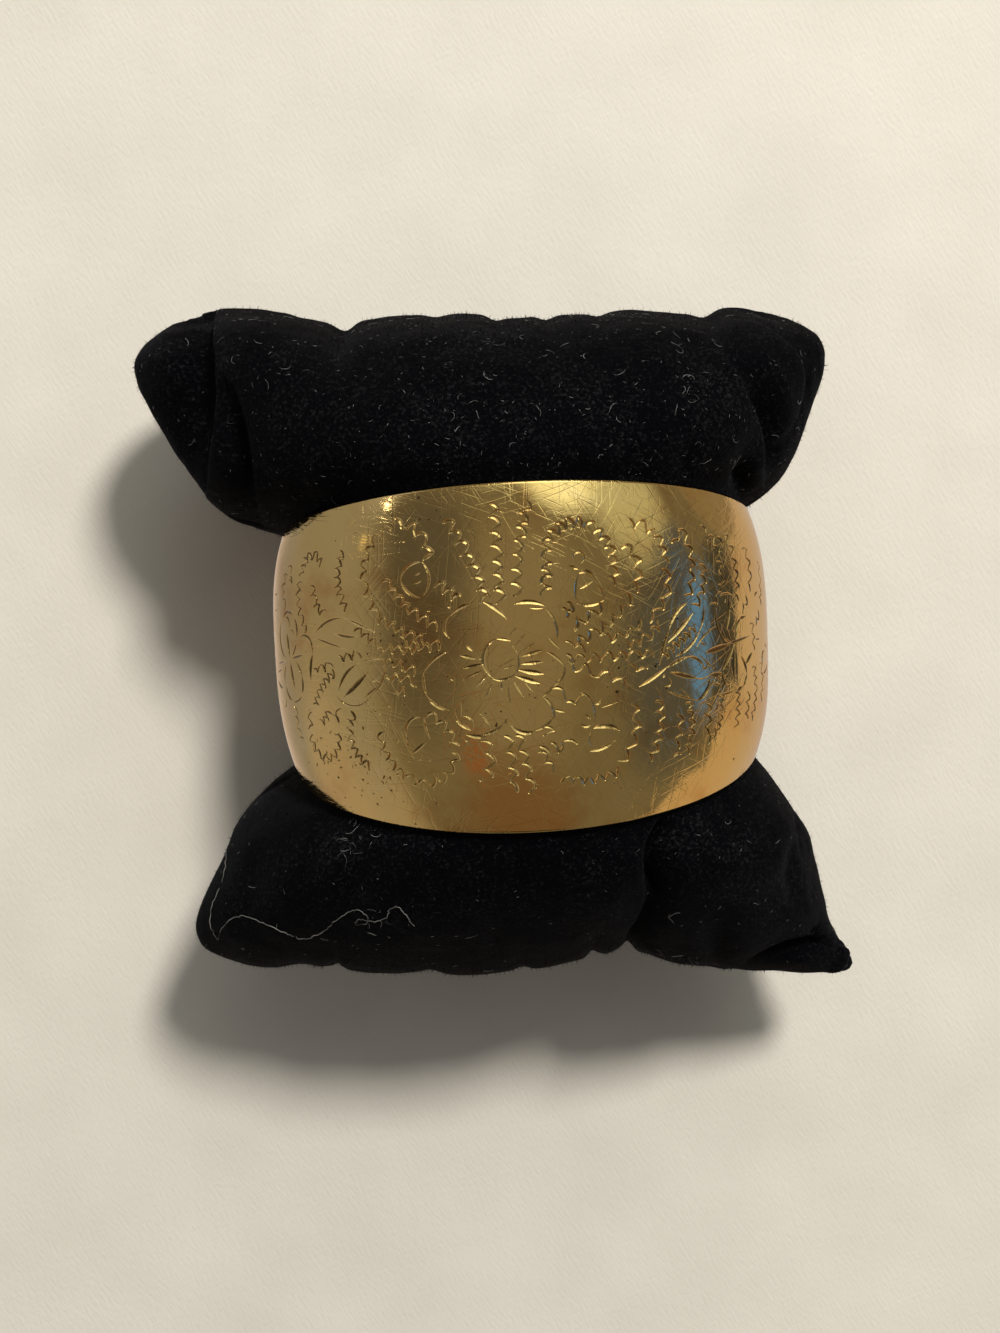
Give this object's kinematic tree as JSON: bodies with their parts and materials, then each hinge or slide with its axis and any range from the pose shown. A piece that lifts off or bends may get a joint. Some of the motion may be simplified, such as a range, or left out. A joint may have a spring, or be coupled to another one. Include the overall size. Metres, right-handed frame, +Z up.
{
  "type": "cuff bracelet on a display pillow",
  "caption": "Wide domed brass cuff bracelet, open at the back and tapered to its ends, on the stuffed black velvet pillow that displays it.",
  "frame": {"origin": "on the flat underside of the pillow, which the part stands on, below the middle of the cuff", "axes": "+Z up through the middle of the cuff's front, +Y along the wrist axis, +X to the right of someone facing +Y"},
  "size_m": [0.0928, 0.0949, 0.0534],
  "materials": {
    "brass": "worn semi-polished brass with cut engraving",
    "velvet": "black velvet"
  },
  "bodies": {
    "root": {"cuff_band": "brass", "display_pillow": "velvet"}
  },
  "joints": []
}
